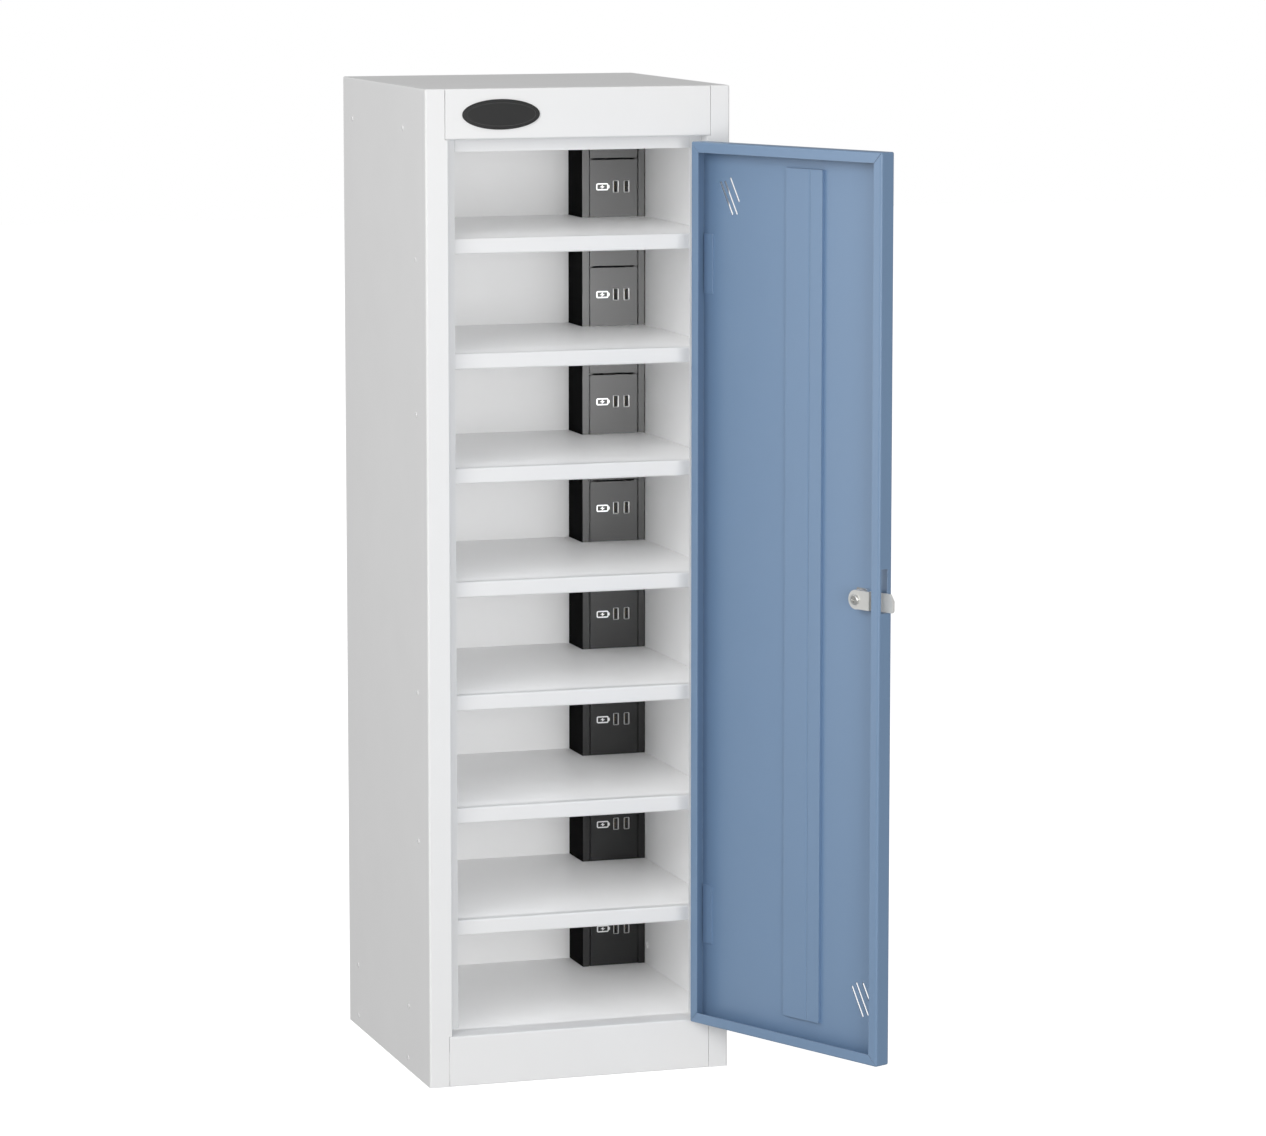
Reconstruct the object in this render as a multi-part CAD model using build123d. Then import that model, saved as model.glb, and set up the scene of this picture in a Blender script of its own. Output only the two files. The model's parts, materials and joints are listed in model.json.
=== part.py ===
from build123d import *
import os

# A wall-high steel charging locker: one full-height door, eight open compartments on seven
# shelves, and a black column of twin-socket charger modules up the rear right corner.
# Millimetres. The origin is the centre of the cabinet's footprint on the floor, +X is to the
# right seen from the front, +Y is to the back and +Z is up.

# ---- cabinet ----
WIDTH = 315.0
DEPTH = 320.0
HEIGHT = 1000.0
GAUGE = 1.2  # carcass and door sheet
BEND = 2.2  # outside radius of the upright corners
TOP_BEND = 1.6  # outside radius of the top edges
SEAM = 0.2  # gap between two sheets that meet edge to edge
STILE_X = 134.0  # inner edge of each front stile
STOP_X = 122.3  # inner edge of each upright door stop
STOP_Y = -140.0  # front face of the door stops
REAR_RETURN = 15.5  # width of the side panels' rear returns
STUD_DX = 22.0  # badge studs, either side of its middle
FOOT_HOLES = (148.0, 120.0)  # floor fixing holes, either side of the middle
FOOT_HOLE_R = 4.2
WALL_FIX = (110.0, 26.0)  # wall fixing holes, either side of the middle, and their height
WALL_FIX_R = 3.6
CAP_HOLE_R = 1.6
PLUG_PLACE = (102.5, 71.0)  # nesting hole in the right wall, as (y, z)
BADGE_X = -80.2
BADGE_Z = 974.4
BASE_RETURN = 17.5  # width of the side panels' feet
KICK_TOP = 51.3
KICK_X = 136.9
FASCIA_BOTTOM = 950.0
FASCIA_X = 137.1
FASCIA_SEAM = 0.5  # shadow gap beside the fascia and the kickplate
TOP_STOP_Z = 937.0  # lower edge of the door stop under the fascia
FLOOR_TOP = 50.6
CEILING_BOTTOM = 965.8

SIDE_X = WIDTH / 2
SIDE_INNER = SIDE_X - GAUGE
FRONT_Y = -DEPTH / 2
BACK_Y = DEPTH / 2
BACK_PANEL_Y = 157.5  # front face of the back panel
BACK_PANEL_TOP = HEIGHT - GAUGE - SEAM
INNER_X = SIDE_INNER - SEAM

# ---- shelves ----
SHELF_COUNT = 7
SHELF_PITCH = 114.4
FIRST_SHELF_TOP = 165.0
SHELF_LIP = 15.7
SHELF_FRONT_Y = -138.5
SHELF_FLANGE = 12.0
SHELF_BEND = 2.1  # outside radius of the front edge
SHELF_X = INNER_X - 0.2

# ---- charging column ----
TOWER_X0 = 86.5
TOWER_X1 = 156.0
TOWER_Y0 = 109.0
TOWER_Y1 = BACK_PANEL_Y - 0.1
TOWER_WALL = 1.5
PLATE_X0 = 95.3
PLATE_X1 = 148.0
RAIL_X0 = 93.2  # inner edge of the left front rail
RAIL_X1 = 148.5  # inner edge of the right front rail
MODULE_COUNT = 8
MODULE_PITCH = 113.23
FIRST_SOCKET_Z = 90.6
PLATE_RISE = 28.5  # plate top above its sockets
PLATE_GAP = 1.3
SOCKET_X = (123.7, 135.5)
SOCKET_W = 5.2
SOCKET_H = 12.6
SOCKET_DEPTH = 14.0
SOCKET_FIT = 0.25  # gap between a socket's shell and its opening
SHELL_WALL = 0.4
NOTCH_GAP = 0.4

# ---- power ----
SUPPLY_X = (-60.0, 90.0)
SUPPLY_Y = (-30.0, 60.0)
SUPPLY_Z = (CEILING_BOTTOM + GAUGE, HEIGHT - 4.0)
SUPPLY_FOOT = 1.5  # thickness of its feet
SUPPLY_SLOTS = 10
SCREW_R = 1.6
SCREW_HOLE_R = 1.7
INLET_X = 40.0
INLET_Z = 982.8
INLET_Y = BACK_PANEL_Y + GAUGE  # back of the sheet that the flange lies on
INLET_FLANGE = 2.6
INLET_SCREW_DX = 20.0
LEAD_R = 3.0

# ---- door, drawn shut and then swung open ----
DOOR_X0 = -132.7
DOOR_X1 = 133.0
DOOR_Z0 = 52.6
DOOR_Z1 = 945.2
DOOR_BACK_Y = -142.0
DOOR_LIP = 10.5
DOOR_BEND = 2.4
PIVOT_X = 132.6
PIVOT_Y = -164.3
OPEN_ANGLE = 114.75
VENT_W = 2.6
VENT_SLANT = 28.5  # from upright
STIFFENER_X = (-39.0, 13.5)
STIFFENER_Z = (78.0, 924.0)

# ---- hinges ----
HINGE_Z = (162.8, 823.5)
HINGE_H = 60.0
KNUCKLE_R = 4.0
LEAF_T = 1.4
PIN_R = 2.55
PIN_FIT = 0.05  # radial
KNUCKLE_GAP = 0.3
MOVING_KNUCKLE_H = 30.0

# ---- lock ----
LOCK_X = -96.5
LOCK_Z = 510.0
BARREL_R = 9.3
PLUG_R = 6.5
PLUG_FIT = 0.05  # radial
DRIVE_R = 4.4  # end of the plug that the cam sits on
DRIVE_FLAT = 3.5  # half the distance across its flats
CAM_HUB_R = 9.6
CAM_T = 2.0
CAM_REACH = 46.8
CAM_HALF = 9.2
CAM_HUB_Y = -148.3
CAM_TONGUE_Y = -153.0
CAM_CRANK_X = -112.7
CAM_TIP = (4.3, 6.6)  # corner cut off the tongue's tip, along it and across it
SLOT_Y = (CAM_TONGUE_Y - 1.0, CAM_HUB_Y + CAM_T + 1.2)
SLOT_Z = (LOCK_Z - 10.2, LOCK_Z + 33.0)


def block(x, y, z):
    """A box between two values on each axis."""
    centre = ((x[0] + x[1]) / 2, (y[0] + y[1]) / 2, (z[0] + z[1]) / 2)
    return Pos(*centre) * Box(x[1] - x[0], y[1] - y[0], z[1] - z[0])


def rod(centre, radius, length, axis=Axis.Z):
    """A cylinder centred at a point, along one of the main axes."""
    turn = {Axis.Z: Rot(0, 0, 0), Axis.Y: Rot(90, 0, 0), Axis.X: Rot(0, 90, 0)}[axis]
    return Pos(*centre) * turn * Cylinder(radius, length)


def edge_near(part, point):
    """The edge whose middle is nearest to a point."""
    return min(part.edges(), key=lambda edge: (edge.center() - Vector(*point)).length)


def round_edges(part, points, radius):
    """Rounds the edges whose middles are nearest to the points."""
    return fillet([edge_near(part, point) for point in points], radius)


def mirrored(part):
    """The same piece on the other side of the cabinet."""
    return part.mirror(Plane.YZ)


def group(solids):
    """Separate solids kept together as one node."""
    return Compound(children=[solid for item in solids for solid in item.solids()])


def swing(part):
    """Turns a piece of the shut door about the hinge line to where it stands open."""
    return Pos(PIVOT_X, PIVOT_Y, 0) * Rot(0, 0, OPEN_ANGLE) * Pos(-PIVOT_X, -PIVOT_Y, 0) * part


# ---- carcass ----
def envelope():
    """The cabinet's outer block with its rounded upright and top edges."""
    body = block((-SIDE_X, SIDE_X), (FRONT_Y, BACK_Y), (0, HEIGHT))
    body = fillet(body.edges().filter_by(Axis.Z), BEND)
    return fillet(body.faces().sort_by(Axis.Z)[-1].edges(), TOP_BEND)


def cap(x, y, z, radius=2.6, height=0.9):
    """A domed cap on the outside of the left wall, with its stem through the wall."""
    dome = rod((x - height / 2, y, z), radius, height, Axis.X)
    dome = fillet(dome.edges().sort_by(Axis.X)[0], height * 0.8)
    return dome + rod((x + 0.6, y, z), 1.5, 1.2, Axis.X)


def cap_places():
    """Where the caps sit on each side wall, as (y, z)."""
    front_row = [(-121.0, z) for z in (245.0, 396.0, 676.0, 830.0)]
    low_row = [(-76.0, 12.8), (122.0, 12.8), (-80.0, 67.0), (122.0, 67.0)]
    return front_row + low_row + [(-76.0, 958.0), (122.0, 958.0)]


def side_panel():
    """The left side: wall, front stile with its return and door stop, rear return and foot."""
    outer = envelope()
    wall = outer & block((-SIDE_X, -SIDE_INNER), (FRONT_Y, BACK_Y), (0, HEIGHT))
    stile = outer & block((-SIDE_X, -STILE_X), (FRONT_Y, FRONT_Y + GAUGE), (0, HEIGHT))
    rear = outer & block((-SIDE_X, -SIDE_X + REAR_RETURN), (BACK_Y - GAUGE, BACK_Y), (0, HEIGHT))
    span = (KICK_TOP + SEAM, FASCIA_BOTTOM - SEAM)
    side_return = block((-STILE_X - GAUGE, -STILE_X), (FRONT_Y, STOP_Y + GAUGE), span)
    stop = block((-STILE_X - GAUGE, -STOP_X), (STOP_Y, STOP_Y + GAUGE), (span[0] + 3.0, span[1]))
    panel = wall + stile + rear + side_return + stop
    panel = round_edges(panel, [(-STILE_X, FRONT_Y, HEIGHT / 2)], 1.1)
    for z, edge in (((-1, KICK_TOP + SEAM), KICK_X), ((FASCIA_BOTTOM - SEAM, HEIGHT + 1), FASCIA_X)):
        panel -= block((-edge - FASCIA_SEAM, 0), (FRONT_Y - 1, FRONT_Y + 30), z)
    foot_y = (FRONT_Y + GAUGE, BACK_PANEL_Y - 5)
    foot = block((-SIDE_INNER - 0.1, -SIDE_INNER + BASE_RETURN), foot_y, (0, GAUGE))
    foot -= block((-SIDE_X, 0), (FRONT_Y, FRONT_Y + 21.5), (-1, 2))
    panel += foot
    for y in (-FOOT_HOLES[1], FOOT_HOLES[1]):
        panel -= rod((-FOOT_HOLES[0], y, 0), FOOT_HOLE_R, 4)
    for y, z in cap_places():
        panel -= rod((-SIDE_X, y, z), CAP_HOLE_R, 4, Axis.X)
    return panel


def left_side_panel():
    """The left side has the slot that the lock's tongue passes through."""
    strike = block((-STILE_X - GAUGE - 1, -STILE_X + 1), SLOT_Y, SLOT_Z)
    return side_panel() - strike


def right_side_panel():
    """The right side has notches for the hinge leaves and one nesting hole with a plug."""
    panel = mirrored(side_panel())
    for z in HINGE_Z:
        span = (z - HINGE_H / 2 - 0.4, z + HINGE_H / 2 + 0.4)
        panel -= block((STILE_X - 1, 136.9), (FRONT_Y - 1, FRONT_Y + 2.0), span)
    return panel - rod((SIDE_INNER, *PLUG_PLACE), 3.0, 4, Axis.X)


def nesting_plug():
    """A white plug in the right wall's nesting hole, seen from inside."""
    head = rod((SIDE_INNER - 0.75, *PLUG_PLACE), 4.0, 1.5, Axis.X)
    head = fillet(head.edges().sort_by(Axis.X)[0], 0.9)
    return head + rod((SIDE_INNER + 0.5, *PLUG_PLACE), 2.9, 1.2, Axis.X)


def side_caps():
    """The caps of both side walls."""
    left = [cap(-SIDE_X, y, z) for y, z in cap_places()]
    return group(left + [mirrored(item) for item in left])


def back_panel():
    """A flat sheet between the rear returns, with the inlet's opening and wall fixing holes."""
    panel = block((-INNER_X, INNER_X), (BACK_PANEL_Y, BACK_PANEL_Y + GAUGE), (0, BACK_PANEL_TOP))
    panel -= block((INLET_X - 13.9, INLET_X + 13.9), (150, 165), (INLET_Z - 10.2, INLET_Z + 10.2))
    for dx in (-INLET_SCREW_DX, INLET_SCREW_DX):
        panel -= rod((INLET_X + dx, BACK_PANEL_Y, INLET_Z), SCREW_HOLE_R, 8, Axis.Y)
    for x in (-WALL_FIX[0], WALL_FIX[0]):
        panel -= rod((x, BACK_PANEL_Y, WALL_FIX[1]), WALL_FIX_R, 8, Axis.Y)
    return panel


def top_panel():
    """The roof: a shallow lid with flanges turned down at its sides and back."""
    lid_y = (FRONT_Y + GAUGE + SEAM, BACK_PANEL_Y + GAUGE)
    lid = block((-INNER_X, INNER_X), lid_y, (HEIGHT - GAUGE, HEIGHT))
    flange = block((-INNER_X, -INNER_X + GAUGE), (-135, BACK_PANEL_Y - 2), (HEIGHT - 14, HEIGHT))
    return lid + flange + mirrored(flange)


def fascia():
    """The top front panel: face, bottom return and the door stop that hangs behind it."""
    x = (-FASCIA_X, FASCIA_X)
    panel = block(x, (FRONT_Y, STOP_Y + GAUGE), (FASCIA_BOTTOM, HEIGHT))
    panel = round_edges(panel, [(0, FRONT_Y, FASCIA_BOTTOM)], 1.9)
    panel = round_edges(panel, [(0, FRONT_Y, HEIGHT)], TOP_BEND)
    behind = (FRONT_Y + GAUGE, 0)
    panel -= block((-200, 200), behind, (FASCIA_BOTTOM + GAUGE, HEIGHT - 2 * GAUGE - SEAM))
    panel -= block((-200, 200), behind, (HEIGHT - GAUGE - SEAM, HEIGHT + 1))
    stop = block((-STOP_X + 0.3, STOP_X - 0.3), (STOP_Y, STOP_Y + GAUGE), (TOP_STOP_Z, FASCIA_BOTTOM + GAUGE))
    panel += stop
    for dx in (-STUD_DX, STUD_DX):
        panel -= rod((BADGE_X + dx, FRONT_Y, BADGE_Z), 1.6, 6, Axis.Y)
    return panel


def badge():
    """A blank oval badge on two studs through the fascia."""
    outline = Pos(BADGE_X, FRONT_Y, BADGE_Z) * Rot(90, 0, 0) * Ellipse(39.7, 15.0)
    plate = extrude(outline, 2.0, dir=(0, -1, 0))
    plate = fillet(plate.faces().sort_by(Axis.Y)[0].edges(), 1.2)
    dish = Pos(BADGE_X, FRONT_Y - 2.0, BADGE_Z) * Rot(90, 0, 0) * Ellipse(35.2, 11.4)
    plate -= extrude(dish, 0.6, dir=(0, 1, 0))
    for dx in (-STUD_DX, STUD_DX):
        plate += rod((BADGE_X + dx, FRONT_Y + 1.4, BADGE_Z), 1.5, 3.0, Axis.Y)
    return plate


def ceiling_panel():
    """The sheet that closes the top compartment and carries the power supply."""
    x = (-INNER_X + 0.1, INNER_X - 0.1)
    front = STOP_Y + 4
    sheet = block(x, (front, BACK_PANEL_Y - 0.1), (CEILING_BOTTOM, CEILING_BOTTOM + GAUGE))
    sheet += block(x, (front, front + GAUGE), (CEILING_BOTTOM, CEILING_BOTTOM + 12))
    sheet -= block((108, 134), (128, 150), (CEILING_BOTTOM - 1, CEILING_BOTTOM + 3))
    for place_x, place_y in supply_feet():
        sheet -= rod((place_x, place_y, CEILING_BOTTOM), SCREW_HOLE_R, 5)
    return sheet


def floor_tray():
    """The bottom of the lowest compartment, turned down along its front and back."""
    back = BACK_PANEL_Y - 0.1
    tray = block((-INNER_X + 0.1, INNER_X - 0.1), (SHELF_FRONT_Y, back), (FLOOR_TOP - 20, FLOOR_TOP))
    tray -= block((-200, 200), (SHELF_FRONT_Y + GAUGE, back - GAUGE), (0, FLOOR_TOP - GAUGE))
    return round_edges(tray, [(0, SHELF_FRONT_Y, FLOOR_TOP)], 1.0)


def kickplate():
    """The bottom front panel, a channel with its top and bottom turned back."""
    x = (-KICK_X, KICK_X)
    plate = block(x, (FRONT_Y, STOP_Y), (0, KICK_TOP))
    plate = round_edges(plate, [(0, FRONT_Y, KICK_TOP)], 1.9)
    plate = round_edges(plate, [(0, FRONT_Y, 0)], 1.1)
    return plate - block((-200, 200), (FRONT_Y + GAUGE, 0), (GAUGE, KICK_TOP - GAUGE))


# ---- shelves ----
def shelf(top):
    """One shelf tray, with its deep front lip, side and rear flanges and the column's notch."""
    x = (-SHELF_X, SHELF_X)
    inner_x = (x[0] + GAUGE, x[1] - GAUGE)
    back = BACK_PANEL_Y - 0.2
    lip_back = SHELF_FRONT_Y + 9
    tray = block(x, (SHELF_FRONT_Y, back), (top - SHELF_LIP, top))
    tray = round_edges(tray, [(0, SHELF_FRONT_Y, top)], SHELF_BEND)
    tray = round_edges(tray, [(0, SHELF_FRONT_Y, top - SHELF_LIP)], 1.7)
    hollow = block(inner_x, (SHELF_FRONT_Y + GAUGE, back - GAUGE), (top - 30, top - GAUGE))
    hollow += block((-200, 200), (lip_back, 200), (top - 30, top - SHELF_FLANGE))
    lip_z = (top - SHELF_LIP, top - SHELF_LIP + GAUGE)
    lip_return = block((x[0] + 2, x[1] - 2), (SHELF_FRONT_Y + GAUGE, lip_back), lip_z)
    tray -= hollow - lip_return
    return tray - block((TOWER_X0 - NOTCH_GAP, 200), (TOWER_Y0 - NOTCH_GAP, 200), (top - 30, top + 1))


# ---- charging column ----
def socket_z(index):
    """Height of one module's sockets."""
    return FIRST_SOCKET_Z + MODULE_PITCH * index


def tower_body():
    """The column's black trunking: back, sides, two front rails and the ledges behind the plates."""
    z = (FLOOR_TOP, CEILING_BOTTOM)
    body = block((TOWER_X0, TOWER_X1), (TOWER_Y0, TOWER_Y1), z)
    body = round_edges(body, [(TOWER_X0, TOWER_Y0, 500), (TOWER_X1, TOWER_Y0, 500)], 1.0)
    inside_x = (TOWER_X0 + TOWER_WALL, TOWER_X1 - TOWER_WALL)
    body -= block(inside_x, (TOWER_Y0 + TOWER_WALL, TOWER_Y1 - TOWER_WALL), (0, HEIGHT))
    body -= block((RAIL_X0, RAIL_X1), (0, TOWER_Y0 + 3), (0, HEIGHT))
    ledge_y = (TOWER_Y0 + 2.6, TOWER_Y0 + 3.8)
    web_y = (TOWER_Y0 + 1.0, ledge_y[1])
    body += block((RAIL_X0 - 3, PLATE_X0 + 4), ledge_y, z)
    body += block((RAIL_X0 - 3, RAIL_X0 - 1.8), web_y, z)
    body += block((PLATE_X1 - 4, RAIL_X1 + 3), ledge_y, z)
    return body + block((RAIL_X1 + 1.8, RAIL_X1 + 3), web_y, z)


def plate_span(index):
    """Bottom and top of one module's faceplate."""
    top = socket_z(index) + PLATE_RISE
    return (max(top - MODULE_PITCH + PLATE_GAP, FLOOR_TOP + 0.2), top)


def charger_module(index):
    """One charger: faceplate with two upright socket openings and the casing behind it."""
    low, high = plate_span(index)
    centre = socket_z(index)
    plate = block((PLATE_X0, PLATE_X1), (TOWER_Y0 + 0.4, TOWER_Y0 + 2.5), (low, high))
    plate = fillet(plate.faces().sort_by(Axis.Y)[0].edges(), 0.5)
    casing_y = (TOWER_Y0 + 2.4, TOWER_Y0 + 27)
    module = plate + block((PLATE_X0 + 5, PLATE_X1 - 5), casing_y, (centre - 22, centre + 26))
    half_w = SOCKET_W / 2 + SOCKET_FIT
    half_h = SOCKET_H / 2 + SOCKET_FIT
    for x in SOCKET_X:
        module -= block((x - half_w, x + half_w), (0, TOWER_Y0 + 17), (centre - half_h, centre + half_h))
    return module


def tower_blank():
    """The plain filler plate above the highest charger."""
    low = plate_span(MODULE_COUNT - 1)[1] + PLATE_GAP
    plate = block((PLATE_X0, PLATE_X1), (TOWER_Y0 + 0.4, TOWER_Y0 + 2.5), (low, CEILING_BOTTOM - 0.2))
    return fillet(plate.faces().sort_by(Axis.Y)[0].edges(), 0.5)


def usb_shell(x, z):
    """The plated steel shell of one socket, open at its mouth."""
    mouth = TOWER_Y0 + 0.1
    y = (mouth, mouth + SOCKET_DEPTH)
    shell = block((x - SOCKET_W / 2, x + SOCKET_W / 2), y, (z - SOCKET_H / 2, z + SOCKET_H / 2))
    shell = fillet(shell.edges().filter_by(Axis.Y), 0.5)
    half_w = SOCKET_W / 2 - SHELL_WALL
    half_h = SOCKET_H / 2 - SHELL_WALL
    return shell - block((x - half_w, x + half_w), (y[0] - 1, y[1] - 1.2), (z - half_h, z + half_h))


def usb_tongue(x, z):
    """The insulating contact tongue inside one socket."""
    return block((x + 0.1, x + 1.9), (TOWER_Y0 + 2.2, TOWER_Y0 + SOCKET_DEPTH - 1.1), (z - 5.4, z + 5.4))


def usb_shells(index):
    """Both shells of one charger."""
    return group([usb_shell(x, socket_z(index)) for x in SOCKET_X])


def usb_tongues():
    """The contact tongues of every socket."""
    return group([usb_tongue(x, socket_z(index)) for index in range(MODULE_COUNT) for x in SOCKET_X])


# ---- power ----
def supply_feet():
    """Where the supply is screwed to the ceiling panel, as (x, y)."""
    return [(x, y) for x in (SUPPLY_X[0] - 5, SUPPLY_X[1] + 5) for y in (SUPPLY_Y[0] + 12, SUPPLY_Y[1] - 12)]


def power_supply():
    """The mains power supply's slotted case, with a foot at each end."""
    case = block(SUPPLY_X, SUPPLY_Y, SUPPLY_Z)
    case = fillet(case.edges().filter_by(Axis.Z), 2.0)
    slot_y = (SUPPLY_Y[0] + 12, SUPPLY_Y[1] - 12)
    for index in range(SUPPLY_SLOTS):
        slot_x = SUPPLY_X[0] + 15 + 13 * index
        case -= block((slot_x, slot_x + 5), slot_y, (SUPPLY_Z[1] - 1.2, SUPPLY_Z[1] + 1))
    feet = block((SUPPLY_X[0] - 10, SUPPLY_X[1] + 10), SUPPLY_Y, (SUPPLY_Z[0], SUPPLY_Z[0] + SUPPLY_FOOT))
    for x, y in supply_feet():
        feet -= rod((x, y, SUPPLY_Z[0]), SCREW_HOLE_R, 6)
    return case + feet


def supply_screws():
    """The screws that hold the supply down."""
    screws = []
    for x, y in supply_feet():
        head = rod((x, y, SUPPLY_Z[0] + SUPPLY_FOOT + 1.1), 3.0, 2.2)
        head = fillet(head.edges().sort_by(Axis.Z)[-1], 0.9)
        screws.append(head + rod((x, y, SUPPLY_Z[0]), SCREW_R, 5.0))
    return group(screws)


def mains_inlet():
    """The three-pin appliance inlet in the back panel: flange and body with its recess."""
    z = INLET_Z
    flange = block((INLET_X - 25, INLET_X + 25), (INLET_Y, INLET_Y + INLET_FLANGE), (z - 11.5, z + 11.5))
    flange = fillet(flange.edges().filter_by(Axis.Y), 3.0)
    inlet = flange + block((INLET_X - 13.6, INLET_X + 13.6), (INLET_Y - 26, INLET_Y + 1), (z - 9.9, z + 9.9))
    inlet -= block((INLET_X - 12.2, INLET_X + 12.2), (INLET_Y - 15, INLET_Y + 5), (z - 8.2, z + 8.2))
    for dx in (-INLET_SCREW_DX, INLET_SCREW_DX):
        inlet -= rod((INLET_X + dx, INLET_Y, z), SCREW_HOLE_R, 12, Axis.Y)
    return inlet


def inlet_pins():
    """The inlet's three flat pins."""
    pins = []
    for dx, dz in ((-7.0, -2.0), (0.0, 2.0), (7.0, -2.0)):
        x = INLET_X + dx
        z = INLET_Z + dz
        pins.append(block((x - 1, x + 1), (INLET_Y - 15, INLET_Y + 0.5), (z - 2, z + 2)))
    return group(pins)


def inlet_screws():
    """The two screws through the inlet's flange."""
    y = INLET_Y + INLET_FLANGE
    screws = []
    for dx in (-INLET_SCREW_DX, INLET_SCREW_DX):
        head = rod((INLET_X + dx, y + 0.8, INLET_Z), 3.0, 1.6, Axis.Y)
        head = fillet(head.edges().sort_by(Axis.Y)[-1], 0.8)
        screws.append(head + rod((INLET_X + dx, y - 2.5, INLET_Z), SCREW_R, 5.4, Axis.Y))
    return group(screws)


def tube(points, radii, radius):
    """A round lead along straight runs joined by arcs."""
    path = FilletPolyline(*points, radius=radii)
    start = Plane(origin=path @ 0, z_dir=path % 0)
    return sweep(start * Circle(radius), path)


def power_leads():
    """The lead from the inlet to the supply, and the feed from the supply down the column."""
    wall = SUPPLY_Y[1]
    feed_z = 978
    mains = [(INLET_X, INLET_Y - 26, INLET_Z), (INLET_X, 110, INLET_Z)]
    mains += [(10, 90, INLET_Z), (10, wall, INLET_Z)]
    feed = [(70, wall, feed_z), (70, 100, feed_z), (121, 143, feed_z), (121, 143, 80)]
    return group([tube(mains, 8, LEAD_R), tube(feed, [12, 10], LEAD_R)])


# ---- door ----
def vent_slit_places():
    """Middle of each slanting vent slit, as (distance from the hinge edge, z, length)."""
    upper = [(33.8, 889.7, 37.0), (40.2, 890.3, 37.0), (45.4, 898.6, 27.0)]
    lower = [(223.0, 108.5, 33.0), (229.4, 112.0, 35.0), (235.0, 119.6, 20.0)]
    return upper + lower


def vent_slit(distance, z, length):
    """One slanting slit cut through the door's skin."""
    straight = length - VENT_W
    slit = Box(VENT_W, 6, straight)
    for end in (-straight / 2, straight / 2):
        slit += rod((0, 0, end), VENT_W / 2, 6, Axis.Y)
    return Pos(DOOR_X1 - distance, FRONT_Y, z) * Rot(0, VENT_SLANT, 0) * slit


def door_mitres():
    """The cuts across the lip's four corners, where its ends meet."""
    cuts = []
    for corner_x, turn_x in ((DOOR_X0, 1), (DOOR_X1, -1)):
        for corner_z, turn_z in ((DOOR_Z0, 1), (DOOR_Z1, -1)):
            place = Pos(corner_x + turn_x * 6.0, DOOR_BACK_Y, corner_z + turn_z * 6.0)
            cuts.append(place * Rot(0, -45 * turn_x * turn_z, 0) * Box(DOOR_LIP * 1.3, 4, 0.35))
    return cuts


def door_panel():
    """The folded door tray: skin, four returns and the inward lip around its back."""
    x = (DOOR_X0, DOOR_X1)
    z = (DOOR_Z0, DOOR_Z1)
    inside_y = (FRONT_Y + GAUGE, DOOR_BACK_Y - GAUGE)
    tray = block(x, (FRONT_Y, DOOR_BACK_Y), z)
    tray = fillet(tray.edges().filter_by(Axis.Z), DOOR_BEND)
    tray = fillet(tray.faces().sort_by(Axis.Y)[0].edges().filter_by(Axis.X), 1.6)
    tray -= block((x[0] + GAUGE, x[1] - GAUGE), inside_y, (z[0] + GAUGE, z[1] - GAUGE))
    window_x = (x[0] + DOOR_LIP, x[1] - DOOR_LIP)
    tray -= block(window_x, (DOOR_BACK_Y - 3, DOOR_BACK_Y + 1), (z[0] + DOOR_LIP, z[1] - DOOR_LIP))
    for distance, height, length in vent_slit_places():
        tray -= vent_slit(distance, height, length)
    for cut in door_mitres():
        tray -= cut
    tray -= rod((LOCK_X, FRONT_Y, LOCK_Z), BARREL_R + 0.1, 8, Axis.Y)
    tray -= block((x[0] - 1, x[0] + 4), SLOT_Y, SLOT_Z)
    half = MOVING_KNUCKLE_H / 2 + 0.2
    arm = (PIVOT_X - KNUCKLE_R - 0.2, PIVOT_X - KNUCKLE_R + LEAF_T + 0.2)
    for hinge_z in HINGE_Z:
        tray -= block(arm, (FRONT_Y - 1, FRONT_Y + 1.6), (hinge_z - half, hinge_z + half))
    return tray


def door_stiffener():
    """A shallow pressed channel spot-welded down the middle of the skin."""
    x0, x1 = STIFFENER_X
    crease = x0 + 17.7
    base = FRONT_Y + GAUGE
    crown = base + 3.4
    outline = [(x0, base), (x0, crown), (crease - 1.5, crown), (crease, crown - 0.5), (crease + 1.5, crown)]
    profile = Polyline(*outline, (x1 - 2.2, crown), (x1, base), close=True)
    length = STIFFENER_Z[1] - STIFFENER_Z[0]
    rib = Pos(0, 0, STIFFENER_Z[0]) * extrude(make_face(profile), length, dir=(0, 0, 1))
    span = (STIFFENER_Z[0] - 1, STIFFENER_Z[1] + 1)
    return rib - block((x0 + 1.2, x1 - 2.4), (base - 1, crown - 1.5), span)


def knuckle(z_low, z_high):
    """A hinge knuckle bored for the pin."""
    height = z_high - z_low
    centre = (PIVOT_X, PIVOT_Y, (z_low + z_high) / 2)
    return rod(centre, KNUCKLE_R, height) - rod(centre, PIN_R + PIN_FIT, height + 2)


def hinge_fixed_leaf(z):
    """The leaf welded behind the right stile's return, with its two end knuckles."""
    half = HINGE_H / 2
    inner = MOVING_KNUCKLE_H / 2 + KNUCKLE_GAP
    leaf_x = (PIVOT_X + KNUCKLE_R - LEAF_T, PIVOT_X + KNUCKLE_R)
    bore = rod((PIVOT_X, PIVOT_Y, z), PIN_R + PIN_FIT, 100)
    leaf = block(leaf_x, (FRONT_Y + 0.2, STOP_Y - 1.5), (z - half, z + half))
    for low, high in ((z - half, z - inner), (z + inner, z + half)):
        leaf += block(leaf_x, (PIVOT_Y, FRONT_Y + 1), (low, high)) - bore
        leaf += knuckle(low, high)
    return leaf


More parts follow.
